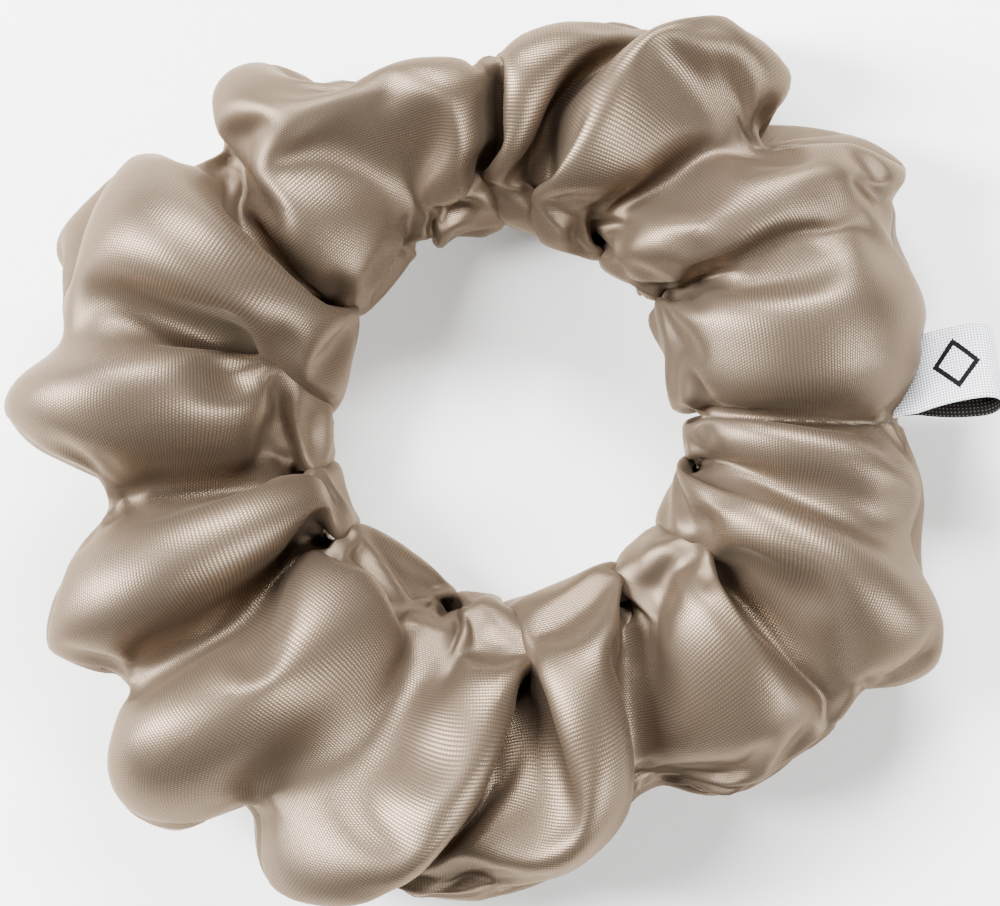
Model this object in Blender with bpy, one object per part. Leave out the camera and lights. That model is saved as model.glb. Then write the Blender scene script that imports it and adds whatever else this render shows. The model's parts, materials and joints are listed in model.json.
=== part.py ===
"""A satin hair scrunchie with a folded woven label, lying flat with its opening upwards.

The real object is a strip of satin sewn into a tube along one long seam, gathered on a loop of flat
elastic, and closed end to end. The tube is cut here into sections that slide apart as the elastic
stretches, and the closing seam lies at +X, where the first and the last half section meet.
Metres, +Z up. The origin is the centre of the opening, on the plane that the scrunchie lies on.
"""

import math

import bpy
from mathutils import Vector

MM = 0.001

# The gathered outline: angle in degrees, then the outer radius, inner radius and top height in mm.
OUTLINE = [
    (0, 48.0, 22.4, 25.0),
    (14, 49.0, 21.5, 25.5),
    (30, 54.0, 21.0, 28.0),
    (46, 45.5, 19.5, 24.0),
    (70, 52.5, 18.5, 29.0),
    (90, 43.0, 20.5, 23.5),
    (110, 47.0, 18.5, 28.0),
    (130, 45.5, 19.7, 24.0),
    (153, 55.0, 22.0, 28.5),
    (174, 59.0, 21.5, 27.0),
    (190, 48.0, 20.5, 23.5),
    (208, 58.5, 22.5, 29.0),
    (236, 48.5, 19.0, 24.5),
    (256, 57.0, 19.5, 29.0),
    (282, 47.5, 22.0, 25.0),
    (296, 45.5, 19.5, 24.0),
    (318, 54.0, 18.5, 29.0),
    (346, 51.5, 22.5, 27.0),
]

# The satin tube.
SECTIONS = 8
PITCH_DEG = 360 / SECTIONS
STATIONS = 7  # cross-sections in a whole section
CLOTH = 0.6 * MM  # thickness of the gathered satin
TUBE_POINTS = 20  # points on the tube's cross-section
TUBE_SQUARENESS = 2.3  # exponent of the superellipse that the cross-section is
SECTION_GAP = 0.3 * MM  # between two sections
CENTRE_SHARE = 0.47  # height of the tube's middle, as a share of its top height
FLAT_DEPTH = 1.2 * MM  # how far the tube's underside is pressed flat

# The long seam runs round the outside, and its two edges turn inwards as flanges.
SEAM_WANDER = 5.5 * MM
SEAM_WAVES = 5
SEAM_SLIT = 1.2 * MM
SEAM_ALLOWANCE = 6.0 * MM
SEAM_STITCH_DEPTH = 1.2 * MM
SEAM_THREAD_START, SEAM_THREAD_END = 13.5, 359.0  # it stops at the label's tail and at the closing seam
THREAD = 0.4 * MM

# The closing seam at +X.
CLOSING_GAP = 1.0 * MM
CLOSING_ALLOWANCE = 3.0 * MM
CLOSING_STITCH_DEPTH = 2.0 * MM
CLOSING_FLANGE = 0.6 * MM

# The elastic, whose two ends overlap behind the closing seam.
ELASTIC_RADIUS = 29.0 * MM
ELASTIC_WIDTH = 6.0 * MM
ELASTIC_THICK = 0.8 * MM
ELASTIC_STEPS = 72
OVERLAP_DEG = 26.0
OVERLAP_GAP = 0.3 * MM
JOIN_LENGTH_SHARE = 0.64  # how much of the overlap the zigzag covers, each way
JOIN_WIDTH_SHARE = 0.72
JOIN_STITCHES = 9
JOIN_GAP = 0.15 * MM

# The label, a ribbon folded into a loop whose ends lie in the long seam.
LABEL_DEG = 6.6
LABEL_WIDTH = 10.0 * MM
LABEL_REACH = 10.4 * MM
LABEL_THICK = 0.45 * MM
LABEL_BULGE = 2.6 * MM  # half the loop's greatest depth
LABEL_NECK = 0.5 * MM  # half its depth where it leaves the seam
LABEL_HINGE_OUT = 1.1 * MM  # from the tube's skin to the line that the label bends on
LABEL_POINTS = 9
TAIL_THICK = 0.6 * MM
TAIL_DEPTH = 3.0 * MM
TAIL_OUT = 0.3 * MM

# Each material's colour and roughness.
SATIN = ((0.46, 0.39, 0.32), 0.35)
ELASTIC = ((0.85, 0.83, 0.79), 0.8)
SATIN_THREAD = ((0.40, 0.34, 0.28), 0.6)
ELASTIC_THREAD = ((0.90, 0.90, 0.88), 0.6)
RIBBON = ((0.88, 0.88, 0.90), 0.75)


def clear_scene():
    for obj in list(bpy.data.objects):
        bpy.data.objects.remove(obj, do_unlink=True)


def material(name, look):
    colour, roughness = look
    made = bpy.data.materials.new(name)
    made.use_nodes = True
    shader = made.node_tree.nodes["Principled BSDF"]
    shader.inputs["Base Color"].default_value = (*colour, 1.0)
    shader.inputs["Roughness"].default_value = roughness
    shader.inputs["Metallic"].default_value = 0.0
    return made


def place(degrees, beside, r, z):
    """A point at a radius and height on the plane at an angle, moved sideways off that plane."""
    turn = math.radians(degrees)
    c, s = math.cos(turn), math.sin(turn)
    return Vector((r * c - beside * s, r * s + beside * c, z))


def spread(start, end, count):
    return [start + (end - start) * i / (count - 1) for i in range(count)]


def add_mesh(name, points, faces, skin, origin):
    """One closed body with its object's origin at a given point, shaded smooth but for sharp edges."""
    mesh = bpy.data.meshes.new(name)
    mesh.from_pydata([tuple(p - origin) for p in points], [], faces)
    mesh.shade_smooth()
    mesh.set_sharp_from_angle(angle=math.radians(40))
    mesh.materials.append(skin)
    obj = bpy.data.objects.new(name, mesh)
    obj.location = origin
    bpy.context.scene.collection.objects.link(obj)
    return obj


def add_loft(name, rings, skin, origin):
    """A solid through a row of closed rings of points, capped at both ends."""
    count = len(rings[0])
    points = [p for ring in rings for p in ring]
    faces = []
    for start in range(0, len(points) - count, count):
        for j in range(count):
            k = (j + 1) % count
            faces.append((start + j, start + count + j, start + count + k, start + k))
    faces.append(tuple(range(count)))
    faces.append(tuple(reversed(range(len(points) - count, len(points)))))
    return add_mesh(name, points, faces, skin, origin)


def add_thread(name, path, closed, skin):
    """A round thread along a list of points."""
    curve = bpy.data.curves.new(name, "CURVE")
    curve.dimensions = "3D"
    curve.bevel_depth = THREAD / 2
    curve.bevel_resolution = 1
    curve.use_fill_caps = not closed
    spline = curve.splines.new("POLY")
    spline.points.add(len(path) - 1)
    for point, at in zip(spline.points, path):
        point.co = (*at, 1)
    spline.use_cyclic_u = closed
    curve.materials.append(skin)
    obj = bpy.data.objects.new(name, curve)
    bpy.context.scene.collection.objects.link(obj)
    return obj


def outline_at(degrees):
    """(outer radius, inner radius, top height) in metres, on a smooth closed curve through OUTLINE."""
    at = degrees % 360
    rows = OUTLINE + [(360, *OUTLINE[0][1:])]
    for low, high in zip(rows, rows[1:]):
        if at <= high[0]:
            share = (at - low[0]) / (high[0] - low[0])
            ease = (1 - math.cos(math.pi * share)) / 2
            return tuple((a + (b - a) * ease) * MM for a, b in zip(low[1:], high[1:]))


def tube_middle(degrees):
    """Height of the tube's middle, where the elastic runs."""
    return outline_at(degrees)[2] * CENTRE_SHARE


def seam_height(degrees):
    """Height of the long seam, which wanders up and down the outside and falls steadily at the label."""
    wave = math.sin(SEAM_WAVES * math.radians(degrees - LABEL_DEG))
    return tube_middle(degrees) - SEAM_WANDER * wave


def skin_curve(degrees, inset, above, below):
    """The tube's skin at an angle, moved inwards by inset: (radius, z) points from the height above,
    over the top, down the inside, under the flat foot and up to the height below."""
    outer, inner, top = outline_at(degrees)
    centre_r = (outer + inner) / 2
    centre_z = top * CENTRE_SHARE
    half_wide = (outer - inner) / 2 - inset
    half_high = top - centre_z - inset
    power = 2 / TUBE_SQUARENESS

    def parameter(height):
        rise = (height - centre_z) / half_high
        return math.asin(math.copysign(abs(rise) ** (1 / power), rise))

    points = []
    for turn in spread(parameter(above), parameter(below) + math.tau, TUBE_POINTS):
        c, s = math.cos(turn), math.sin(turn)
        r = centre_r + half_wide * math.copysign(abs(c) ** power, c)
        z = centre_z + half_high * math.copysign(abs(s) ** power, s)
        points.append((r, z if z > inset + FLAT_DEPTH else inset))
    return points


def seam_radius(degrees):
    """Radius of the tube's skin at the long seam."""
    height = seam_height(degrees)
    return skin_curve(degrees, 0, height, height)[0][0]


def cover_profile(degrees, beside, inner_inset):
    """The cloth's closed outline beside the plane at an angle: the outer skin, then the inner one back
    again, with the long seam's two flanges between them."""
    height = seam_height(degrees + math.degrees(beside / outline_at(degrees)[0]))
    half = SEAM_SLIT / 2
    outside = skin_curve(degrees, 0, height + half, height - half)
    inside = skin_curve(degrees, inner_inset, height + half + CLOTH, height - half - CLOTH)
    edge = outside[0][0] - SEAM_ALLOWANCE
    return [
        (edge, height + half),
        *outside,
        (edge, height - half),
        (edge, height - half - CLOTH),
        *reversed(inside),
        (edge, height + half + CLOTH),
    ]


def add_cover_section(name, stations, skin, origin):
    """A length of the satin tube through (angle, sideways shift, inner inset) stations."""
    rings = []
    for degrees, beside, inset in stations:
        profile = cover_profile(degrees, beside, inset)
        rings.append([place(degrees, beside, r, z) for r, z in profile])
    return add_loft(name, rings, skin, origin)


def slide_origin(number):
    """A point on the line that a section slides along, where it meets the section before it."""
    degrees = (number - 0.5) * PITCH_DEG
    return place(degrees, 0, ELASTIC_RADIUS, tube_middle(degrees))


def add_cover(skin):
    """Two half sections that meet at the closing seam, and whole ones between them."""
    half = PITCH_DEG / 2
    gap = SECTION_GAP / 2
    mouth = CLOSING_GAP / 2
    start = [
        (0, mouth, CLOSING_ALLOWANCE),
        (0, mouth + CLOSING_FLANGE, CLOSING_ALLOWANCE),
        (0, mouth + CLOSING_FLANGE, CLOTH),
    ]
    start += [(a, 0, CLOTH) for a in spread(0, half, STATIONS // 2 + 1)[1:-1]]
    start += [(half, -gap, CLOTH)]
    add_cover_section("cover_start", start, skin, Vector())
    end = [(360 - a, -beside, inset) for a, beside, inset in reversed(start)]
    add_cover_section("cover_end", end, skin, slide_origin(SECTIONS))
    for k in range(1, SECTIONS):
        first, last = (k - 0.5) * PITCH_DEG, (k + 0.5) * PITCH_DEG
        stations = [(a, 0, CLOTH) for a in spread(first, last, STATIONS)]
        stations[0] = (first, gap, CLOTH)
        stations[-1] = (last, -gap, CLOTH)
        add_cover_section(f"cover_section_{k}", stations, skin, slide_origin(k))


def add_long_seam_thread(skin):
    """The row of stitches that joins the strip's long edges, between the two flanges."""
    step = PITCH_DEG / (STATIONS - 1)
    first = math.ceil(SEAM_THREAD_START / step)
    last = math.floor(SEAM_THREAD_END / step)
    path = []
    for degrees in [SEAM_THREAD_START, *(step * i for i in range(first, last + 1)), SEAM_THREAD_END]:
        path.append(place(degrees, 0, seam_radius(degrees) - SEAM_STITCH_DEPTH, seam_height(degrees)))
    add_thread("long_seam_thread", path, False, skin)


def add_closing_seam_thread(skin):
    """The stitches that close the tube end to end, in the gap between its two mouths."""
    height = seam_height(0)
    ring = skin_curve(0, CLOSING_STITCH_DEPTH, height, height)[:-1]
    add_thread("closing_seam_thread", [place(0, 0, r, z) for r, z in ring], True, skin)


def add_elastic(skin):
    """A flat elastic standing on edge: once round, then over its own start for the sewn overlap."""
    low = tube_middle(0) - ELASTIC_WIDTH / 2
    high = low + ELASTIC_WIDTH
    climb_start = 360 - 2 * OVERLAP_DEG
    rings = []
    for degrees in spread(-OVERLAP_DEG / 2, 360 + OVERLAP_DEG / 2, ELASTIC_STEPS + 1):
        # The end climbs off the start just before it comes round to it.
        climb = min(max((degrees - climb_start) / OVERLAP_DEG, 0), 1)
        r = ELASTIC_RADIUS + (ELASTIC_THICK + OVERLAP_GAP) * climb * climb * (3 - 2 * climb)
        corners = [(r, low), (r + ELASTIC_THICK, low), (r + ELASTIC_THICK, high), (r, high)]
        rings.append([place(degrees, 0, x, z) for x, z in corners])
    add_loft("elastic_band", rings, skin, Vector())


def add_elastic_join(skin):
    """The zigzag that sews the elastic's overlapped ends together."""
    r = ELASTIC_RADIUS + 2 * ELASTIC_THICK + OVERLAP_GAP + THREAD / 2 + JOIN_GAP
    reach = JOIN_WIDTH_SHARE * ELASTIC_WIDTH / 2
    half = JOIN_LENGTH_SHARE * OVERLAP_DEG / 2
    path = []
    for i, degrees in enumerate(spread(-half, half, JOIN_STITCHES + 1)):
        path.append(place(degrees, 0, r, tube_middle(0) + (reach if i % 2 else -reach)))
    add_thread("elastic_join_stitch", path, False, skin)


def label_frame():
    """(the middle of the label's hinge line, its outward, width and thickness directions)."""
    ahead = place(LABEL_DEG + 1, 0, seam_radius(LABEL_DEG), seam_height(LABEL_DEG + 1))
    behind = place(LABEL_DEG - 1, 0, seam_radius(LABEL_DEG), seam_height(LABEL_DEG - 1))
    out = place(LABEL_DEG, 0, 1, 0)
    width = (ahead - behind).normalized()
    radius = seam_radius(LABEL_DEG) + LABEL_HINGE_OUT
    return place(LABEL_DEG, 0, radius, seam_height(LABEL_DEG)), out, width, width.cross(out)


def teardrop(inset):
    """The folded ribbon seen on edge, as (outward, thickness) points: a neck that widens to a round tip."""
    tip = LABEL_REACH - LABEL_BULGE
    upper = []
    for along in spread(2 * inset, tip, LABEL_POINTS):
        swell = 1 - (1 - along / tip) ** 2
        upper.append((along, LABEL_NECK + (LABEL_BULGE - LABEL_NECK) * swell - inset))
    radius = LABEL_BULGE - inset
    turns = spread(math.pi / 2, -math.pi / 2, LABEL_POINTS)[1:-1]
    round_tip = [(tip + radius * math.cos(a), radius * math.sin(a)) for a in turns]
    return upper + round_tip + [(x, -y) for x, y in reversed(upper)]


def add_woven_label(skin):
    """The ribbon's loop, open at both sides, which bends on the line that it leaves the seam along."""
    middle, out, width, thick = label_frame()
    outline = teardrop(0) + teardrop(LABEL_THICK)
    points = []
    for side in (-LABEL_WIDTH / 2, LABEL_WIDTH / 2):
        points += [middle + width * side + out * x + thick * y for x, y in outline]
    count = len(outline) // 2
    other = len(outline)
    faces = []
    for a in range(count):
        b = (a + 1) % count
        c, d = a + count, b + count
        faces.append((b, a, other + a, other + b))
        faces.append((c, d, other + d, other + c))
        faces.append((a, b, d, c))
        faces.append((other + b, other + a, other + c, other + d))
    add_mesh("woven_label", points, faces, skin, middle)


def add_label_tail(skin):
    """The ribbon's two ends, flat together and caught in the long seam."""
    middle, out, width, thick = label_frame()
    near, far = TAIL_OUT - LABEL_HINGE_OUT, -TAIL_DEPTH - LABEL_HINGE_OUT
    edge = TAIL_THICK / 2
    corners = [(near, edge), (near, -edge), (far, -edge), (far, edge)]
    rings = []
    for side in (-LABEL_WIDTH / 2, LABEL_WIDTH / 2):
        rings.append([middle + width * side + out * x + thick * y for x, y in corners])
    add_loft("label_tail", rings, skin, Vector())


def main():
    clear_scene()
    add_cover(material("satin", SATIN))
    satin_thread = material("satin_thread", SATIN_THREAD)
    add_long_seam_thread(satin_thread)
    add_closing_seam_thread(satin_thread)
    add_elastic(material("elastic", ELASTIC))
    add_elastic_join(material("elastic_thread", ELASTIC_THREAD))
    ribbon = material("ribbon", RIBBON)
    add_woven_label(ribbon)
    add_label_tail(ribbon)


main()
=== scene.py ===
"""Looks of the satin scrunchie: its gathered cloth, its elastic, its seams and its woven label.

The cover is one tube of cloth. It starts as a folded tube with the ruffles laid out round the ring, is
relaxed by a cloth simulation, and is then cut into eight pieces.
Metres, +Z up.
"""

import json
import math

import bmesh
import bpy
import numpy as np
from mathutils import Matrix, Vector


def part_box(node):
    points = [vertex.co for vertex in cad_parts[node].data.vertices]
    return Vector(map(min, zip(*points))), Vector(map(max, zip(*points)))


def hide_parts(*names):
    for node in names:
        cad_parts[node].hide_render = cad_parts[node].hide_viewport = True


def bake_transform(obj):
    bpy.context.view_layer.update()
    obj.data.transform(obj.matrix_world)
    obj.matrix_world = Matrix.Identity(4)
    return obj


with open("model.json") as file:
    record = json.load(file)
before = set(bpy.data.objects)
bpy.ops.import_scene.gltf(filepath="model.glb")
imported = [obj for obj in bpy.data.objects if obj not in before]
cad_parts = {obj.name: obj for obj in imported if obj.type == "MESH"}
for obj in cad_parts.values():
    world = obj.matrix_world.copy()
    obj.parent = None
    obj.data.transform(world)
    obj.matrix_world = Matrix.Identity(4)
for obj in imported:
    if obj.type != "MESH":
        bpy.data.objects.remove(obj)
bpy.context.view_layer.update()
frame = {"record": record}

MM = 0.001

# The strip of satin: its length round the ring and its width round the tube.
STRIP_LENGTH = 392 * MM
STRIP_WIDTH = 90 * MM
STATIONS_ROUND = 224  # mesh stations along the strip
STATIONS_ACROSS = 50

# One row for each valley between two ruffles, in the order that the ring is sewn: the valley's angle in
# degrees at the hole, halfway and at the rim; then for the ruffle after it, its share of the strip, how
# much it puckers at the hole, and how far it leans over its neighbours; then how deep the valley is.
RUFFLES = [
    (3, 1, 0, 36, 0.9, 0.0, 0.5),
    (37, 32, 27.5, 32, 0.2, -0.3, 0.6),
    (61, 57, 45.5, 32, 0.2, 0.45, 0.9),
    (76, 74, 63, 26, 0.3, 0.4, 0.9),
    (90, 90, 90, 29, 0.2, 0.0, 1.0),
    (112, 111, 117, 32, 0.2, 0.45, 0.7),
    (149, 144, 134, 46, 0.7, 0.0, 1.0),
    (167, 168, 169, 36, 0.6, -0.45, 0.6),
    (195, 193, 190, 36, 0.2, 0.0, 0.9),
    (214, 215, 216, 40, 0.2, -0.5, 0.8),
    (254, 246, 236, 33, 0.2, 0.4, 0.6),
    (273, 266, 253, 46, 0.5, 0.0, 1.0),
    (306, 297, 291, 36, 0.3, 0.5, 1.0),
    (329, 326, 323, 34, 0.5, 0.0, 1.0),
    (351, 348, 345, 20, 0.0, 0.0, 0.5),
]

# The outer edge of the ring: angle in degrees, and how far it lies in or out of an even circle, in mm.
RIM = [
    (0, -7), (13, -6), (28, 2), (46, -6), (60, 2), (74, 6), (95, -3), (110, -2),
    (124, -1), (140, 1), (158, 1), (178, 1), (190, -2), (206, 5), (226, 3), (238, 1),
    (257, 8), (280, -2), (292, -4), (302, 3), (320, 4), (346, -1), (360, -7),
]

# The surface that the valleys' floors lie on, in mm, and the shape of a fold.
VALLEY_IN, VALLEY_OUT = 25.8, 51.0
VALLEY_LOW, VALLEY_HIGH = 5.0, 18.0
VALLEY_NARROW = 0.35  # share of its cloth that a ruffle moves from its valleys to its crown
VALLEY_SQUARENESS = 0.8  # exponent that squares the valleys' loop off
FOLD_STEPS = 64  # steps along a ruffle's curve
STEEPEST = 2.25  # the steepest that a ruffle's curve may start, in radians
PUCKER = 1.2  # steepness of a full pucker at the hole, in radians
SHALLOW_LIFT = 6.0  # how far the shallowest valley is lifted, in mm
HOLE_PRESS = 0.40  # how much less a ruffle stands up at the hole than at the rim

FLOOR_CLEAR = 0.3 * MM  # how near the cloth comes to the surface that it lies on

SECTORS = 8

# The cloth simulation runs on a larger copy, because the solver's distances suit large objects.
SIM_SCALE = 20.0
SIM_FRAMES = 12

# The satin's rows of yarn: how far apart they are, and how long each float of yarn is.
WEAVE_PITCH = 0.26 * MM
WEAVE_RUN = 0.36 * MM
WEAVE_STAGGER = 0.4  # of a float, from each row to the next

# The seams pull the cloth in along their stitches.
SEAM_CREASE = 0.45 * MM
STITCH_STEP = 0.36 * MM
STITCH_RUN = 6  # steps in a stitch
STITCH_RADIUS = 0.11 * MM

# The elastic, as the CAD model has it.
ELASTIC_RADIUS = 29.0 * MM
ELASTIC_WIDTH = 6.0 * MM
ELASTIC_THICK = 0.8 * MM
ELASTIC_GAP = 0.3 * MM
ELASTIC_CLEAR = 1.0 * MM  # how far the cloth stays off the elastic beside it
ELASTIC_CLEAR_HIGH = 1.5 * MM  # and above and below it
ELASTIC_SQUARENESS = 4  # exponent of the rounded box that the cloth follows round it
ELASTIC_FACING = 0.6  # cosine from which cloth counts as on the hole's or the rim's side of it
ELASTIC_RIBS = 7
BRAID_STEP = math.radians(1.5)
OVERLAP = math.radians(26)
JOIN_STITCHES = 5  # to each side of the middle
JOIN_STEP = OVERLAP * 0.64 / 9
JOIN_REACH = 2.2 * MM
JOIN_RADIUS = 0.2 * MM

# The label's ribbon, whose loop has the CAD model's outline.
LABEL_WIDTH = 10.0 * MM
LABEL_REACH = 10.4 * MM
LABEL_BULGE = 2.6 * MM
LABEL_NECK = 0.5 * MM
LABEL_TAIL = 4.0 * MM
LABEL_HINGE_OUT = 1.1 * MM  # from the seam to the line that the label bends on
RIBBON_THICK = 0.32 * MM
RIBBON_COLUMNS = 16
LOOP_STEPS = 24  # along each half of the loop, and round its nose
RIBBON_RIPPLE = 0.06 * MM
MARK_FROM_END = 9.6 * MM  # the woven diamond, on the face that looks up
MARK_LONG, MARK_WIDE, MARK_STROKE = 2.5 * MM, 2.9 * MM, 0.42 * MM
FRONT_DOTS, BACK_DOTS = 0.36 * MM, 0.48 * MM  # how far apart the woven dots are

# The studio: each light's name, place, aim, size and power.
FLOOR_SIZE = 1.5
WORLD_LIGHT = 0.18
LIGHTS = [
    ("left_softbox", (-0.55, 0.10, 0.45), (0, 0, 0), (0.20, 0.60), 32.0),
    ("back_softbox", (0.05, 0.60, 0.55), (0, 0, 0), (0.50, 0.15), 24.0),
    ("right_softbox", (0.50, -0.30, 0.40), (0, 0, 0), (0.20, 0.40), 8.0),
]

# The camera looks straight down.
CAMERA_HEIGHT = 0.70
VIEW_WIDTH = 119 * MM  # seen across at the ruffles' level
VIEW_CENTRE = (0.0, -3.3 * MM)
VIEW_LEVEL = 14 * MM


# ---------------------------------------------------------------- the folded tube

def ruffle_table():
    rows = np.array(RUFFLES, float)
    lengths = rows[:, 3] / rows[:, 3].sum() * STRIP_LENGTH / MM
    return rows, lengths


def valley_surface(turn):
    """Radius, height and outward direction of the valleys' floor at each turn round the tube, in mm."""
    c, s = np.cos(turn), np.sin(turn)
    square_c = np.sign(c) * np.abs(c) ** VALLEY_SQUARENESS
    square_s = np.sign(s) * np.abs(s) ** VALLEY_SQUARENESS
    radius = (VALLEY_IN + VALLEY_OUT) / 2 + (VALLEY_OUT - VALLEY_IN) / 2 * square_c
    height = (VALLEY_LOW + VALLEY_HIGH) / 2 + (VALLEY_HIGH - VALLEY_LOW) / 2 * square_s
    return radius, height, c, s


def valley_angles(rows, rim_share):
    """Angle of every valley at each share of the way from the hole to the rim, in radians."""
    w = rim_share[:, None]
    hole, middle, rim = rows[:, 0], rows[:, 1], rows[:, 2]
    degrees = 2 * (w - 0.5) * (w - 1) * hole - 4 * w * (w - 1) * middle + 2 * w * (w - 0.5) * rim
    return np.radians(degrees)


def fold_ruffles(turn):
    """Each ruffle's start angle, and its height above the valleys' floor and angle all along it.

    They are given for each turn round the tube. A ruffle is a sine-generated curve: its steepness is
    solved so that its length of cloth just spans the arc between its two valleys."""
    rows, lengths = ruffle_table()
    radius, _, out_r, _ = valley_surface(turn)
    rim_share = (1 + np.cos(turn)) / 2
    start = valley_angles(rows, rim_share)
    arc = np.concatenate([start[:, 1:], start[:, :1] + math.tau], 1) - start
    m = (np.arange(FOLD_STEPS) + 0.5) / FOLD_STEPS
    pucker = PUCKER * rows[None, :, 4, None] * ((1 - rim_share) ** 2)[:, None, None]
    step = lengths[None, :, None] / FOLD_STEPS
    eased = m + VALLEY_NARROW * np.sin(math.tau * m) / math.tau

    def curve(steepness):
        slope = steepness[..., None] * np.sin(math.tau * eased) + pucker * np.sin(2 * math.tau * m)
        rise = step * np.sin(slope)
        height = np.cumsum(rise, -1)
        middle = radius[:, None, None] + (height - rise / 2) * out_r[:, None, None]
        return height, np.cumsum(step * np.cos(slope) / middle, -1)

    low, high = np.zeros_like(arc), np.full_like(arc, STEEPEST)
    for _ in range(30):
        guess = (low + high) / 2
        too_flat = curve(guess)[1][..., -1] > arc
        low, high = np.where(too_flat, guess, low), np.where(too_flat, high, guess)
    height, along = curve((low + high) / 2)
    along *= (arc / along[..., -1])[..., None]
    ground = np.zeros(height.shape[:2] + (1,))
    return start, np.concatenate([ground, height], -1), np.concatenate([ground, along], -1)


def folded_tube():
    """Start positions of the strip's mesh stations: (round + 1, across + 1, 3), in metres."""
    rows, lengths = ruffle_table()
    turn = np.arange(STATIONS_ACROSS + 1) / STATIONS_ACROSS * math.tau
    radius, height, out_r, out_z = valley_surface(turn)
    rim_share = (1 + np.cos(turn)) / 2
    start, rise, along = fold_ruffles(turn)
    ends = np.concatenate([[0], np.cumsum(lengths)])
    points = np.zeros((STATIONS_ROUND + 1, STATIONS_ACROSS + 1, 3))
    for i in range(STATIONS_ROUND + 1):
        at = ends[-1] * i / STATIONS_ROUND
        k = min(int(np.searchsorted(ends, at, side="right")) - 1, len(rows) - 1)
        place = (at - ends[k]) / lengths[k] * FOLD_STEPS
        j = min(int(place), FOLD_STEPS - 1)
        share = place - j
        h = rise[:, k, j] * (1 - share) + rise[:, k, j + 1] * share
        angle = start[:, k] + along[:, k, j] * (1 - share) + along[:, k, j + 1] * share
        angle = angle + rows[k, 5] * h / radius * out_z
        ease = (1 - math.cos(math.pi * place / FOLD_STEPS)) / 2
        depth = rows[k, 6] * (1 - ease) + rows[(k + 1) % len(rows), 6] * ease
        h = (h + SHALLOW_LIFT * (1 - depth)) * (1 - HOLE_PRESS * (1 - rim_share) ** 2)
        edge = np.interp(np.degrees(angle) % 360, *np.array(RIM, float).T)
        r = radius + h * out_r + edge * rim_share ** 2
        points[i] = np.stack([r * np.cos(angle), r * np.sin(angle), height + h * out_z], -1)
    return points * MM


# ---------------------------------------------------------------- the cloth simulation

def strip_mesh(name, points):
    """The strip as a grid that is open along both seams, with sewing edges across them."""
    round_, across = STATIONS_ROUND, STATIONS_ACROSS
    i, j = np.meshgrid(np.arange(round_), np.arange(across), indexing="ij")
    a = i * (across + 1) + j
    quads = np.stack([a, a + across + 1, a + across + 2, a + 1], -1).reshape(-1, 4)
    sewing = [(k, round_ * (across + 1) + k) for k in range(across + 1)]
    sewing += [(k * (across + 1), k * (across + 1) + across) for k in range(1, round_)]
    mesh = bpy.data.meshes.new(name)
    mesh.from_pydata(points.reshape(-1, 3).tolist(), sewing, quads.tolist())
    obj = bpy.data.objects.new(name, mesh)
    bpy.context.scene.collection.objects.link(obj)
    return obj


def add_collider(name, mesh, thickness):
    obj = bpy.data.objects.new(name, mesh)
    bpy.context.scene.collection.objects.link(obj)
    obj.modifiers.new("collision", "COLLISION")
    obj.collision.thickness_outer = thickness
    obj.collision.cloth_friction = 20
    return obj


def label_frame():
    """(the middle of the label's hinge line, its outward, width and thickness directions)."""
    joint = next(j for j in frame["record"]["behaviour"]["joints"] if j["name"] == "label_fold")
    middle, width = Vector(joint["pos_m"]), Vector(joint["axis"]).normalized()
    out = Vector((width.y, -width.x, 0)).normalized()
    return middle, out, width, width.cross(out)


def hold_label(points):
    """Lay the long seam's stations nearest the label on the line that its ribbon is sewn along."""
    middle, out, width, _ = label_frame()
    seam = np.array(middle - out * LABEL_HINGE_OUT)
    nearest = int(np.argmin(np.linalg.norm(points[:STATIONS_ROUND // SECTORS, 0] - seam, axis=1)))
    reach = round(LABEL_WIDTH / STRIP_LENGTH * STATIONS_ROUND / 2)
    stations = range(max(nearest - reach, 1), nearest + reach + 1)
    for i in stations:
        side = (i - stations[0] - (len(stations) - 1) / 2) * STRIP_LENGTH / STATIONS_ROUND
        points[i, 0] = points[i, -1] = seam + np.array(width) * side
    return stations


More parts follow.
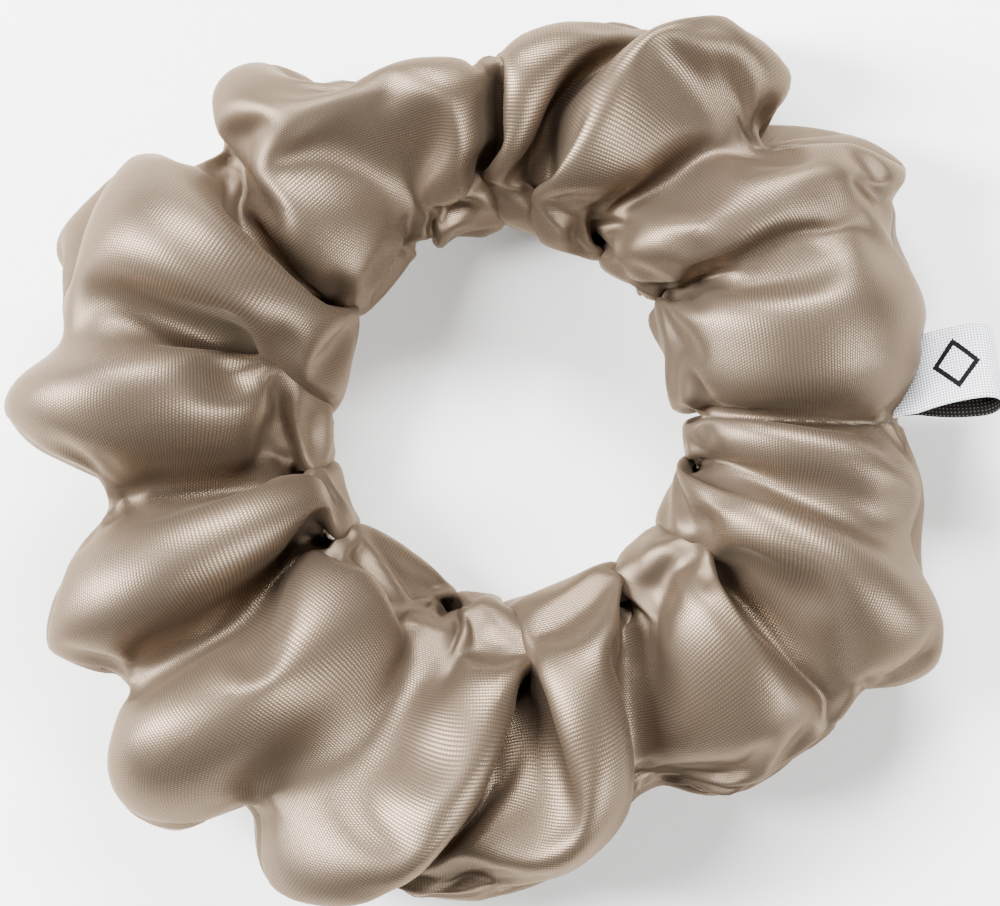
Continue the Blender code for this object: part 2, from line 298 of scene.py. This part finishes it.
def relax(points, label_stations):
    """Run the cloth simulation on the folded tube and return its positions."""
    strip = strip_mesh("strip", points * SIM_SCALE)
    strip.shape_key_add(name="folded")
    flat = strip.shape_key_add(name="flat")
    u, v = np.meshgrid(
        np.linspace(0, STRIP_LENGTH, STATIONS_ROUND + 1),
        np.linspace(0, STRIP_WIDTH, STATIONS_ACROSS + 1),
        indexing="ij",
    )
    cut = np.stack([u, v, 0 * u], -1) * SIM_SCALE
    flat.data.foreach_set("co", cut.reshape(-1).astype(np.float32))

    # The hole side of every valley is held by the elastic, and the long seam by the label.
    held = strip.vertex_groups.new(name="held")
    inner = STATIONS_ACROSS // 2
    r = np.hypot(points[:-1, inner, 0], points[:-1, inner, 1])
    for i in range(STATIONS_ROUND):
        if r[i] >= max(r[i - 1], r[(i + 1) % STATIONS_ROUND]):
            held.add([i * (STATIONS_ACROSS + 1) + inner], 1.0, "REPLACE")
    for i in label_stations:
        held.add([i * (STATIONS_ACROSS + 1), i * (STATIONS_ACROSS + 1) + STATIONS_ACROSS], 1.0, "REPLACE")

    plane = bpy.data.meshes.new("sim_floor")
    plane.from_pydata([(-3, -3, 0), (3, -3, 0), (3, 3, 0), (-3, 3, 0)], [], [(0, 1, 2, 3)])
    floor = add_collider("sim_floor", plane, 0.01)

    cloth = strip.modifiers.new("cloth", "CLOTH")
    s = cloth.settings
    s.quality = 10
    s.mass = 0.15
    s.tension_stiffness = 80
    s.compression_stiffness = 50
    s.shear_stiffness = 20
    s.bending_stiffness = 16
    s.tension_damping = 5
    s.compression_damping = 5
    s.shear_damping = 5
    s.bending_damping = 0.5
    s.air_damping = 2
    s.use_sewing_springs = True
    s.rest_shape_key = flat
    s.use_pressure = True
    s.uniform_pressure_force = 4
    s.vertex_group_mass = held.name
    c = cloth.collision_settings
    c.collision_quality = 2
    c.distance_min = 0.01
    c.use_self_collision = True
    c.self_distance_min = 0.014
    c.self_friction = 5
    cloth.point_cache.frame_start = 1
    cloth.point_cache.frame_end = SIM_FRAMES + 1
    for number in range(1, SIM_FRAMES + 1):
        bpy.context.scene.frame_set(number)

    settled = np.empty(points.size, np.float32)
    shown = strip.evaluated_get(bpy.context.evaluated_depsgraph_get())
    shown.data.vertices.foreach_get("co", settled)
    bpy.data.objects.remove(strip)
    bpy.data.objects.remove(floor)
    bpy.context.scene.frame_set(1)
    return settled.reshape(points.shape).astype(float) / SIM_SCALE


def keep_off_elastic(points):
    """Move cloth that crosses the elastic back to its own side of it: the hole, above, below or the rim."""
    low, high = (corner[2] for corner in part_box("elastic_band"))
    wide = ELASTIC_THICK + ELASTIC_GAP / 2 + ELASTIC_CLEAR
    tall = (high - low) / 2 + ELASTIC_CLEAR_HIGH
    middle_r = ELASTIC_RADIUS + ELASTIC_THICK + ELASTIC_GAP / 2
    turn = np.arange(STATIONS_ACROSS + 1) / STATIONS_ACROSS * math.tau
    rim_side = np.broadcast_to(np.cos(turn), points.shape[:2])
    above = np.broadcast_to(np.sin(turn) > 0, points.shape[:2])
    r = np.hypot(points[..., 0], points[..., 1])
    beside = (r - middle_r) / wide
    up = (points[..., 2] - (low + high) / 2) / tall
    level = np.abs(up) < 1
    beside = np.where(level & (rim_side < -ELASTIC_FACING), np.minimum(beside, -1), beside)
    beside = np.where(level & (rim_side > ELASTIC_FACING), np.maximum(beside, 1), beside)
    over = np.clip(1 - beside ** ELASTIC_SQUARENESS, 0, 1) ** (1 / ELASTIC_SQUARENESS)
    flank = np.where(above, np.maximum(up, over), np.minimum(up, -over))
    up = np.where(level & (np.abs(beside) < 1), flank, up)
    points[..., :2] *= ((middle_r + beside * wide) / r)[..., None]
    points[..., 2] = (low + high) / 2 + up * tall


# ---------------------------------------------------------------- the cover's pieces

def sewn_mesh(points):
    """The whole tube as one closed grid, its seams joined, with the strip's own lengths as its UV map."""
    round_, across = STATIONS_ROUND, STATIONS_ACROSS
    points = points.copy()
    points[0] = points[-1] = (points[0] + points[-1]) / 2
    points[:, 0] = points[:, -1] = (points[:, 0] + points[:, -1]) / 2
    i, j = np.meshgrid(np.arange(round_), np.arange(across), indexing="ij")
    corners_i = np.stack([i, i + 1, i + 1, i], -1).reshape(-1, 4)
    corners_j = np.stack([j, j, j + 1, j + 1], -1).reshape(-1, 4)
    quads = (corners_i % round_) * across + corners_j % across
    mesh = bpy.data.meshes.new("cover")
    mesh.from_pydata(points[:-1, :-1].reshape(-1, 3).tolist(), [], quads.tolist())
    uv = np.stack([corners_i / round_ * STRIP_LENGTH, corners_j / across * STRIP_WIDTH], -1)
    mesh.uv_layers.new(name="cloth").uv.foreach_set("vector", uv.reshape(-1).astype(np.float32))
    return mesh


def smooth_copy(mesh, levels):
    """The mesh subdivided."""
    obj = bpy.data.objects.new("smooth", mesh)
    bpy.context.scene.collection.objects.link(obj)
    subdivide = obj.modifiers.new("subdivide", "SUBSURF")
    subdivide.levels = subdivide.render_levels = levels
    shown = obj.evaluated_get(bpy.context.evaluated_depsgraph_get())
    made = bpy.data.meshes.new_from_object(shown)
    bpy.data.objects.remove(obj)
    return made


def cut_into_sectors(mesh):
    """One mesh for each sector between two section middles, sharing the whole tube's normals at the cuts."""
    whole = bmesh.new()
    whole.from_mesh(mesh)
    for k in range(SECTORS // 2):
        angle = math.tau * k / SECTORS
        parts = whole.verts[:] + whole.edges[:] + whole.faces[:]
        across = (-math.sin(angle), math.cos(angle), 0)
        bmesh.ops.bisect_plane(whole, geom=parts, dist=1e-7, plane_co=(0, 0, 0), plane_no=across)
    whole.normal_update()
    kept_normal = whole.verts.layers.float_vector.new("kept_normal")
    for vert in whole.verts:
        vert[kept_normal] = vert.normal
    sectors = []
    for k in range(SECTORS):
        part = whole.copy()
        far = []
        for face in part.faces:
            x, y, _ = face.calc_center_median()
            if int(math.atan2(y, x) % math.tau / (math.tau / SECTORS)) != k:
                far.append(face)
        bmesh.ops.delete(part, geom=far, context="FACES")
        made = bpy.data.meshes.new(f"satin_ruffles_{k + 1}")
        part.to_mesh(made)
        part.free()
        made.shade_smooth()
        normals = np.empty(len(made.vertices) * 3, np.float32)
        made.attributes["kept_normal"].data.foreach_get("vector", normals)
        made.attributes.remove(made.attributes["kept_normal"])
        made.normals_split_custom_set_from_vertices(normals.reshape(-1, 3).tolist())
        sectors.append(made)
    whole.free()
    return sectors


def sector_ends(meshes):
    """Each cut plane's innermost cloth, as a point at floor level at that distance from the middle."""
    rims = []
    for k in range(SECTORS):
        angle = math.tau * k / SECTORS
        across = np.array([-math.sin(angle), math.cos(angle), 0])
        co = np.empty(len(meshes[k].vertices) * 3, np.float32)
        meshes[k].vertices.foreach_get("co", co)
        co = co.reshape(-1, 3)
        on_plane = co[np.abs(co @ across) < 1e-6]
        radius = np.hypot(on_plane[:, 0], on_plane[:, 1]).min()
        rims.append(Vector((radius * math.cos(angle), radius * math.sin(angle), 0)))
    return rims


def add_object(name, mesh):
    obj = bpy.data.objects.new(name, mesh)
    bpy.context.scene.collection.objects.link(obj)
    return obj


def stretch(obj):
    """Apply the world transform of a piece of sector k to its mesh."""
    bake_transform(obj)


def sew(mesh):
    """Pull the cloth in along both seams, and return each seam's name, CAD node, line and normals."""
    uv = np.empty(len(mesh.loops) * 2, np.float32)
    mesh.uv_layers["cloth"].uv.foreach_get("vector", uv)
    corner = np.empty(len(mesh.loops), np.int32)
    mesh.loops.foreach_get("vertex_index", corner)
    co, out = np.empty(len(mesh.vertices) * 3, np.float32), np.empty(len(mesh.vertices) * 3, np.float32)
    mesh.vertices.foreach_get("co", co)
    mesh.vertex_normals.foreach_get("vector", out)
    uv, co, out = uv.reshape(-1, 2), co.reshape(-1, 3), out.reshape(-1, 3)
    on_seam = np.zeros(len(co), bool)
    on_seam[corner[(uv < 1e-6).any(1)]] = True
    co[on_seam] -= out[on_seam] * SEAM_CREASE
    mesh.vertices.foreach_set("co", co.reshape(-1))
    mesh.update()
    round_way = np.arange(STATIONS_ROUND + 1) % STATIONS_ROUND * STATIONS_ACROSS
    across_way = np.arange(STATIONS_ACROSS + 1) % STATIONS_ACROSS
    return [
        ("long_seam_stitches", "long_seam_thread", co[round_way], out[round_way]),
        ("closing_seam_stitches", "closing_seam_thread", co[across_way], out[across_way]),
    ]


def cut_area(mesh):
    """Area of the cloth that a mesh was cut from, from its UV map in metres."""
    uv = np.empty(len(mesh.loops) * 2, np.float32)
    mesh.uv_layers["cloth"].uv.foreach_get("vector", uv)
    uv = uv.reshape(-1, 2).astype(float)
    total = 0.0
    for face in mesh.polygons:
        x, y = uv[face.loop_start:face.loop_start + face.loop_total].T
        total += abs(np.dot(x, np.roll(y, -1)) - np.dot(y, np.roll(x, -1))) / 2
    return total


def add_cover():
    points = folded_tube()
    label_stations = hold_label(points)
    points = relax(points, label_stations)
    keep_off_elastic(points)
    points[..., 2] = np.maximum(points[..., 2], FLOOR_CLEAR)
    whole = smooth_copy(sewn_mesh(points), 1)
    seams = sew(whole)
    meshes = cut_into_sectors(whole)
    rims = sector_ends(meshes)
    nodes = ["cover_start"] + [f"cover_section_{k}" for k in range(1, SECTORS)]
    for k, mesh in enumerate(meshes):
        obj = add_object(mesh.name, mesh)
        mesh.materials.append(satin_material())
        stretch(obj)
        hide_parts(nodes[k], *(["cover_end"] if k == SECTORS - 1 else []))
        cut_area(mesh) / STRIP_WIDTH
    return rims, seams


# ---------------------------------------------------------------- materials

class Nodes:
    """Short names for building one material's node tree."""

    def __init__(self, name):
        self.material = bpy.data.materials.new(name)
        self.material.use_nodes = True
        self.tree = self.material.node_tree
        self.shader = self.tree.nodes["Principled BSDF"]

    def add(self, kind, **settings):
        node = self.tree.nodes.new(kind)
        for key, value in settings.items():
            setattr(node, key, value)
        return node

    def link(self, source, target):
        if isinstance(source, bpy.types.NodeSocket):
            self.tree.links.new(source, target)
        else:
            target.default_value = source

    def math(self, operation, *values):
        node = self.add("ShaderNodeMath", operation=operation)
        for socket, value in zip(node.inputs, values):
            self.link(value, socket)
        return node.outputs[0]

    def uv(self, name):
        """(along, across) in metres of cloth."""
        split = self.add("ShaderNodeSeparateXYZ")
        self.link(self.add("ShaderNodeUVMap", uv_map=name).outputs[0], split.inputs[0])
        return split.outputs[0], split.outputs[1]

    def noise(self, scale, detail):
        node = self.add("ShaderNodeTexNoise")
        node.inputs["Scale"].default_value = scale
        node.inputs["Detail"].default_value = detail
        self.link(self.add("ShaderNodeTexCoord").outputs["Object"], node.inputs["Vector"])
        return node.outputs[0]

    def mix(self, share, first, second):
        node = self.add("ShaderNodeMix", data_type="RGBA")
        self.link(share, node.inputs[0])
        for value, socket in ((first, node.inputs[6]), (second, node.inputs[7])):
            self.link((*value, 1) if isinstance(value, tuple) else value, socket)
        return node.outputs[2]

    def remap(self, value, low, high, to_low, to_high):
        node = self.add("ShaderNodeMapRange")
        for socket, x in zip(node.inputs, (value, low, high, to_low, to_high)):
            self.link(x, socket)
        return node.outputs[0]

    def bump(self, height, distance, strength=1.0):
        node = self.add("ShaderNodeBump")
        node.inputs["Strength"].default_value = strength
        node.inputs["Distance"].default_value = distance
        self.link(height, node.inputs["Height"])
        self.link(node.outputs[0], self.shader.inputs["Normal"])

    def look(self, **values):
        for key, value in values.items():
            self.link(value, self.shader.inputs[key.replace("_", " ")])
        return self.material


def satin_material():
    """Polyester satin: floats of yarn in staggered rows, coloured with painted shade in the gaps between
    yarns and a painted highlight on each float's crown.
    """
    made = bpy.data.materials.get("satin_weave")
    if made:
        return made
    n = Nodes("satin_weave")
    along, across = n.uv("cloth")
    row = n.math("DIVIDE", across, WEAVE_PITCH)
    row_number = n.math("FLOOR", row)
    in_row = n.math("FRACT", row)
    run = n.math("MULTIPLY_ADD", row_number, WEAVE_STAGGER, n.math("DIVIDE", along, WEAVE_RUN))
    in_float = n.math("FRACT", run)
    yarn = n.math("SINE", n.math("MULTIPLY", in_row, math.pi))
    crown = n.math("POWER", n.math("SINE", n.math("MULTIPLY", in_float, math.pi)), 0.6)
    weave = n.math("MULTIPLY", yarn, crown)
    drift = n.noise(60, 3)
    # The yarn colour runs from painted shade in the gaps between yarns to a painted highlight on each float's
    # crown.
    thread = n.mix(weave, (0.070, 0.050, 0.035), (0.168, 0.128, 0.092))
    shade = n.mix(n.remap(drift, 0.35, 0.65, 0, 1), (0.93, 0.93, 0.95), (1.0, 0.985, 0.96))
    tint = n.add("ShaderNodeMix", data_type="RGBA", blend_type="MULTIPLY")
    tint.inputs[0].default_value = 1
    n.link(thread, tint.inputs[6])
    n.link(shade, tint.inputs[7])
    n.bump(weave, 0.05 * MM, 0.4)
    tangent = n.add("ShaderNodeTangent", direction_type="UV_MAP", uv_map="cloth")
    n.link(tangent.outputs[0], n.shader.inputs["Tangent"])
    n.shader.inputs["Anisotropic"].default_value = 0.4
    n.shader.inputs["Sheen Weight"].default_value = 0.05
    n.shader.inputs["Specular IOR Level"].default_value = 0.3
    n.shader.inputs["Sheen Roughness"].default_value = 0.35
    n.shader.inputs["Sheen Tint"].default_value = (1.0, 0.82, 0.62, 1)
    n.shader.inputs["Specular Tint"].default_value = (0.78, 0.64, 0.50, 1)
    n.shader.inputs["Metallic"].default_value = 0.7
    return n.look(Base_Color=tint.outputs[2], Roughness=n.remap(weave, 0, 1, 0.48, 0.31))


def elastic_material():
    n = Nodes("braided_elastic")
    fuzz = n.noise(2500, 2)
    n.bump(fuzz, 0.06 * MM, 0.7)
    n.shader.inputs["Sheen Weight"].default_value = 0.2
    return n.look(Base_Color=n.mix(fuzz, (0.62, 0.60, 0.56), (0.86, 0.85, 0.81)), Roughness=0.85)


def thread_material(name, dark, light):
    """Twisted sewing thread."""
    n = Nodes(name)
    wave = n.add("ShaderNodeTexWave", wave_type="BANDS", bands_direction="DIAGONAL")
    wave.inputs["Scale"].default_value = 900
    n.link(n.add("ShaderNodeTexCoord").outputs["Object"], wave.inputs["Vector"])
    twist = wave.outputs["Fac"]
    n.bump(twist, 0.05 * MM, 0.6)
    n.shader.inputs["Sheen Weight"].default_value = 0.15
    return n.look(Base_Color=n.mix(twist, dark, light), Roughness=0.55)


def label_material(name, ground, dot, pitch, dot_size, mark):
    """Woven ribbon: rows of fine dots on the ground, and an optional plain diamond woven into it."""
    n = Nodes(name)
    along, across = n.uv("ribbon")
    x, y = n.math("DIVIDE", along, pitch), n.math("DIVIDE", across, pitch)
    first = n.math("SINE", n.math("MULTIPLY", n.math("ADD", x, y), math.pi))
    second = n.math("SINE", n.math("MULTIPLY", n.math("SUBTRACT", x, y), math.pi))
    grid = n.remap(n.math("MULTIPLY", first, second), 0.5 - dot_size, 0.9 - dot_size, 0, 1)
    colour = n.mix(grid, ground, dot)
    if mark:
        centre, half_long, half_wide, stroke = mark
        off = n.math("ABSOLUTE", n.math("SUBTRACT", along, centre))
        side = n.math("ABSOLUTE", across)
        size = n.math("ADD", n.math("DIVIDE", off, half_long), n.math("DIVIDE", side, half_wide))
        line = n.math("ABSOLUTE", n.math("SUBTRACT", size, 1.0))
        inside = n.math("LESS_THAN", line, stroke / half_long)
        colour = n.mix(inside, colour, (0.004, 0.004, 0.005))
    n.bump(grid, 0.05 * MM, 0.8)
    n.shader.inputs["Specular IOR Level"].default_value = 0.08
    return n.look(Base_Color=colour, Roughness=0.8)


# ---------------------------------------------------------------- sewing thread, elastic and label

def tube_along(bm, path, radius, sides=6):
    """A round thread with closed ends through a list of points."""
    rings = []
    for i, here in enumerate(path):
        ahead = (path[min(i + 1, len(path) - 1)] - path[max(i - 1, 0)]).normalized()
        side = ahead.cross(Vector((0.2, 0.3, 1))).normalized()
        up = side.cross(ahead)
        turns = [math.tau * j / sides for j in range(sides)]
        rings.append([bm.verts.new(here + (side * math.cos(a) + up * math.sin(a)) * radius) for a in turns])
    for low, high in zip(rings, rings[1:]):
        for j in range(sides):
            k = (j + 1) % sides
            bm.faces.new((low[j], low[k], high[k], high[j]))
    bm.faces.new(reversed(rings[0]))
    bm.faces.new(rings[-1])


def object_from(name, bm, material):
    bmesh.ops.recalc_face_normals(bm, faces=bm.faces)
    mesh = bpy.data.meshes.new(name)
    bm.to_mesh(mesh)
    bm.free()
    mesh.shade_smooth()
    mesh.set_sharp_from_angle(angle=math.radians(50))
    mesh.materials.append(material)
    return add_object(name, mesh)


def along_line(points, normals, step):
    """The line and its normals at even steps."""
    run = np.concatenate([[0], np.cumsum(np.linalg.norm(np.diff(points, axis=0), axis=1))])
    at = np.arange(0, run[-1], step)

    def even(values):
        return np.stack([np.interp(at, run, values[:, c]) for c in range(3)], -1)

    return even(points), even(normals)


def add_stitches(name, line, normals, node, material):
    """Rows of machine stitches along a line on the cloth, one piece for each sector that the line crosses."""
    places, out = along_line(line, normals, STITCH_STEP)
    rows = {}
    for first in range(0, len(places) - STITCH_RUN, STITCH_RUN + 1):
        dip = np.sin(np.pi * np.arange(STITCH_RUN + 1) / STITCH_RUN)[:, None] * 2 - 1
        path = places[first:first + STITCH_RUN + 1] + out[first:first + STITCH_RUN + 1] * dip * STITCH_RADIUS
        angles = np.arctan2(path[:, 1], path[:, 0]) % math.tau / (math.tau / SECTORS)
        if int(angles[0]) == int(angles[-1]):
            rows.setdefault(int(angles[0]), []).append([Vector(p) for p in path])
    for k, paths in sorted(rows.items()):
        bm = bmesh.new()
        for path in paths:
            tube_along(bm, path, STITCH_RADIUS)
        obj = object_from(f"{name}_{k + 1}", bm, material)
        stretch(obj)
        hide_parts(node)


def elastic_radius(angle):
    """Radius of the inner face of the elastic, whose end climbs over its start."""
    climb = min(max((angle - (math.tau - 2 * OVERLAP)) / OVERLAP, 0), 1)
    return ELASTIC_RADIUS + (ELASTIC_THICK + ELASTIC_GAP) * climb * climb * (3 - 2 * climb)


def braid_outline():
    """The braid's cross-section, ribbed on both faces: (outward, height) points, in metres."""
    side = []
    count = ELASTIC_RIBS * 4
    for i in range(count + 1):
        share = i / count
        rib = abs(math.sin(math.pi * ELASTIC_RIBS * share))
        side.append((ELASTIC_THICK * (0.34 + 0.16 * rib), (share - 0.5) * ELASTIC_WIDTH))
    return side + [(-x, z) for x, z in reversed(side)]


def braid_strip(bm, layer, start, end, middle):
    """A length of the braid between two angles."""
    outline = braid_outline()
    steps = max(2, round((end - start) / BRAID_STEP))
    rings = []
    for i in range(steps + 1):
        angle = start + (end - start) * i / steps
        r = elastic_radius(angle) + ELASTIC_THICK / 2
        c, s = math.cos(angle), math.sin(angle)
        rings.append([bm.verts.new(((r + x) * c, (r + x) * s, middle + z)) for x, z in outline])
    count = len(outline)
    for i in range(steps):
        for j in range(count):
            k = (j + 1) % count
            face = bm.faces.new((rings[i][j], rings[i + 1][j], rings[i + 1][k], rings[i][k]))
            for loop, (turn, side) in zip(face.loops, ((i, j), (i + 1, j), (i + 1, k), (i, k))):
                run = (start + (end - start) * turn / steps) * ELASTIC_RADIUS
                loop[layer].uv = (run, outline[side][1])
    bm.faces.new(rings[0])
    bm.faces.new(reversed(rings[-1]))


def add_elastic(middle):
    """The flat elastic inside the tube, and the zigzag that sews its overlapped ends."""
    braid = elastic_material()
    for k in range(SECTORS):
        start, end = math.tau * k / SECTORS, math.tau * (k + 1) / SECTORS
        bm = bmesh.new()
        layer = bm.loops.layers.uv.new("cloth")
        braid_strip(bm, layer, start, end, middle)
        if k == 0:
            braid_strip(bm, layer, math.tau, math.tau + OVERLAP / 2, middle)
        if k == SECTORS - 1:
            braid_strip(bm, layer, -OVERLAP / 2, 0, middle)
        obj = object_from(f"elastic_{k + 1}", bm, braid)
        stretch(obj)
        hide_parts("elastic_band")

    thread = thread_material("white_thread", (0.55, 0.54, 0.50), (0.85, 0.84, 0.80))
    r = ELASTIC_RADIUS + 2 * ELASTIC_THICK + ELASTIC_GAP + JOIN_RADIUS
    for k, way in ((0, 1), (SECTORS - 1, -1)):
        path = [Vector((r, 0, middle))]
        for i in range(JOIN_STITCHES):
            angle = way * (i + 0.5) * JOIN_STEP
            side = JOIN_REACH if i % 2 else -JOIN_REACH
            path.append(Vector((r * math.cos(angle), r * math.sin(angle), middle + way * side)))
        bm = bmesh.new()
        tube_along(bm, path, JOIN_RADIUS)
        obj = object_from(f"elastic_join_{k + 1}", bm, thread)
        stretch(obj)
        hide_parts("elastic_join_stitch")


def ribbon_path():
    """The label's ribbon on edge, from one sewn end round the loop to the other.

    Its points are (outward, thickness)."""
    half = RIBBON_THICK / 2
    tip = LABEL_REACH - LABEL_BULGE
    upper = [(-LABEL_TAIL, half), (-LABEL_TAIL / 2, half)]
    for i in range(LOOP_STEPS + 1):
        share = i / LOOP_STEPS
        swell = 1 - (1 - share) ** 2
        upper.append((tip * share, LABEL_NECK + (LABEL_BULGE - LABEL_NECK) * swell - half))
    radius = LABEL_BULGE - half
    turns = [math.pi / 2 - math.pi * i / LOOP_STEPS for i in range(1, LOOP_STEPS)]
    nose = [(tip + radius * math.cos(a), radius * math.sin(a)) for a in turns]
    return upper + nose + [(x, -y) for x, y in reversed(upper)]


def add_label():
    """The folded ribbon, laid out about the line where it leaves the seam."""
    middle, out, width, thick = label_frame()
    path = ribbon_path()
    run = [0.0]
    for (x0, y0), (x1, y1) in zip(path, path[1:]):
        run.append(run[-1] + math.hypot(x1 - x0, y1 - y0))

    bm = bmesh.new()
    layer = bm.loops.layers.uv.new("ribbon")
    across = [i / RIBBON_COLUMNS - 0.5 for i in range(RIBBON_COLUMNS + 1)]
    sheets = {}
    for face_side in (1, -1):
        grid = []
        for i, (x, y) in enumerate(path):
            x0, y0 = path[max(i - 1, 0)]
            x1, y1 = path[min(i + 1, len(path) - 1)]
            length = math.hypot(x1 - x0, y1 - y0)
            nx, ny = -(y1 - y0) / length, (x1 - x0) / length
            row = []
            for w in across:
                edge = 1 - 0.35 * (abs(w) > 0.49)
                ripple = RIBBON_RIPPLE * math.sin(9 * w + 260 * run[i]) * max(x, 0) / LABEL_REACH
                h = face_side * RIBBON_THICK / 2 * edge + ripple
                here = middle + width * w * LABEL_WIDTH
                row.append(bm.verts.new(here + out * (x + nx * h) + thick * (y + ny * h)))
            grid.append(row)
        sheets[face_side] = grid

    def quad(corners, places, slot):
        face = bm.faces.new(corners)
        face.material_index = slot
        for loop, (i, j) in zip(face.loops, places):
            loop[layer].uv = (run[i], across[j] * LABEL_WIDTH)

    last_i, last_j = len(path) - 1, len(across) - 1
    for i in range(last_i):
        for j in range(last_j):
            places = ((i, j), (i + 1, j), (i + 1, j + 1), (i, j + 1))
            quad([sheets[1][a][b] for a, b in places], places, 0)
            quad([sheets[-1][a][b] for a, b in reversed(places)], places[::-1], 1)
        for j in (0, last_j):
            places = ((i, j), (i + 1, j), (i + 1, j), (i, j))
            top, low = sheets[1], sheets[-1]
            quad([low[i][j], low[i + 1][j], top[i + 1][j], top[i][j]], places, 0)
    for i in (0, last_i):
        for j in range(last_j):
            places = ((i, j), (i, j + 1), (i, j + 1), (i, j))
            top, low = sheets[1], sheets[-1]
            quad([top[i][j], top[i][j + 1], low[i][j + 1], low[i][j]], places, 0)

    mark = (run[-1] - MARK_FROM_END, MARK_LONG, MARK_WIDE, MARK_STROKE)
    front = label_material("ribbon_front", (0.15, 0.16, 0.21), (0.82, 0.83, 0.87), FRONT_DOTS, 0.95, mark)
    obj = object_from("label_ribbon", bm, front)
    back = label_material("ribbon_back", (0.013, 0.011, 0.010), (0.16, 0.155, 0.15), BACK_DOTS, -0.05, None)
    obj.data.materials.append(back)
    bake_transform(obj)
    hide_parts("woven_label", "label_tail")


# ---------------------------------------------------------------- floor, light and camera

def add_light(name, place, aim, size, watts):
    lamp = bpy.data.lights.new(name, "AREA")
    lamp.shape = "RECTANGLE"
    lamp.size, lamp.size_y = size
    lamp.energy = watts
    obj = bpy.data.objects.new(name, lamp)
    bpy.context.scene.collection.objects.link(obj)
    obj.location = place
    obj.rotation_euler = (Vector(place) - Vector(aim)).to_track_quat("Z", "Y").to_euler()


def add_studio():
    bm = bmesh.new()
    bmesh.ops.create_grid(bm, x_segments=1, y_segments=1, size=FLOOR_SIZE)
    mesh = bpy.data.meshes.new("floor")
    bm.to_mesh(mesh)
    bm.free()
    n = Nodes("white_paper")
    grain = n.noise(900, 3)
    n.bump(grain, 0.02 * MM, 0.3)
    paper = n.mix(grain, (0.93, 0.925, 0.915), (0.96, 0.957, 0.95))
    mesh.materials.append(n.look(Base_Color=paper, Roughness=0.9))
    add_object("floor", mesh)

    world = bpy.data.worlds.new("studio")
    bpy.context.scene.world = world
    world.use_nodes = True
    background = world.node_tree.nodes["Background"]
    background.inputs["Color"].default_value = (1.0, 0.985, 0.96, 1)
    background.inputs["Strength"].default_value = WORLD_LIGHT
    for light in LIGHTS:
        add_light(*light)


def add_camera():
    lens = bpy.data.cameras.new("camera")
    lens.sensor_width = 36
    lens.lens = lens.sensor_width * CAMERA_HEIGHT / VIEW_WIDTH
    lens.clip_start = 0.01
    obj = bpy.data.objects.new("camera", lens)
    bpy.context.scene.collection.objects.link(obj)
    obj.location = (VIEW_CENTRE[0], VIEW_CENTRE[1], CAMERA_HEIGHT + VIEW_LEVEL)
    bpy.context.scene.camera = obj


rims, seams = add_cover()
satin_thread = thread_material("satin_thread", (0.055, 0.042, 0.031), (0.115, 0.090, 0.067))
for name, node, line, normals in seams:
    add_stitches(name, line, normals, node, satin_thread)
low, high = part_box("elastic_band")
add_elastic((low[2] + high[2]) / 2)
add_label()
add_studio()
add_camera()
